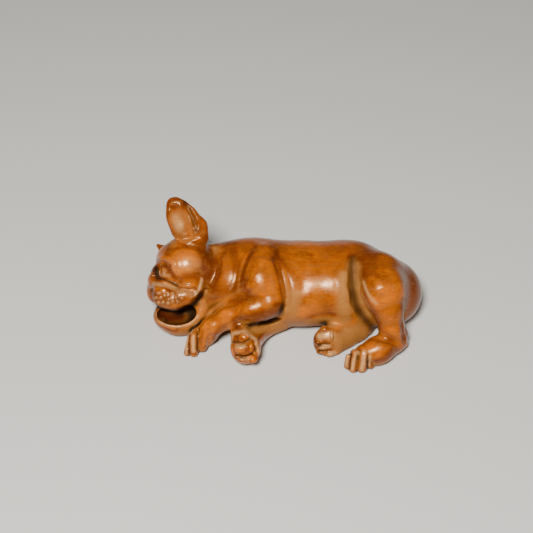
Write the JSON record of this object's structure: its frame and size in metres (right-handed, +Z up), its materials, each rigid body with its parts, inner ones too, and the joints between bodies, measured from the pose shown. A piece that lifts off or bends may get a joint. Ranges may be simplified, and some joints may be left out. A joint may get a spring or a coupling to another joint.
{
  "type": "dog carving",
  "caption": "Small carved wooden figure of a French bulldog asleep on its side, jaw dropped open, one ear up and all four paws towards the front.",
  "frame": {"origin": "middle of the footprint's bounding box, on the table plane that the dog lies on", "axes": "+X from the head to the rump, +Y from the paws to the back, +Z up out of the dog's left side"},
  "size_m": [0.083, 0.0416, 0.0375],
  "materials": {
    "waxed_boxwood": "stained and waxed boxwood, rubbed glossy on the swells and left pale and matt in the cuts"
  },
  "bodies": {
    "root": {"dog_carving": "waxed_boxwood"}
  },
  "joints": []
}
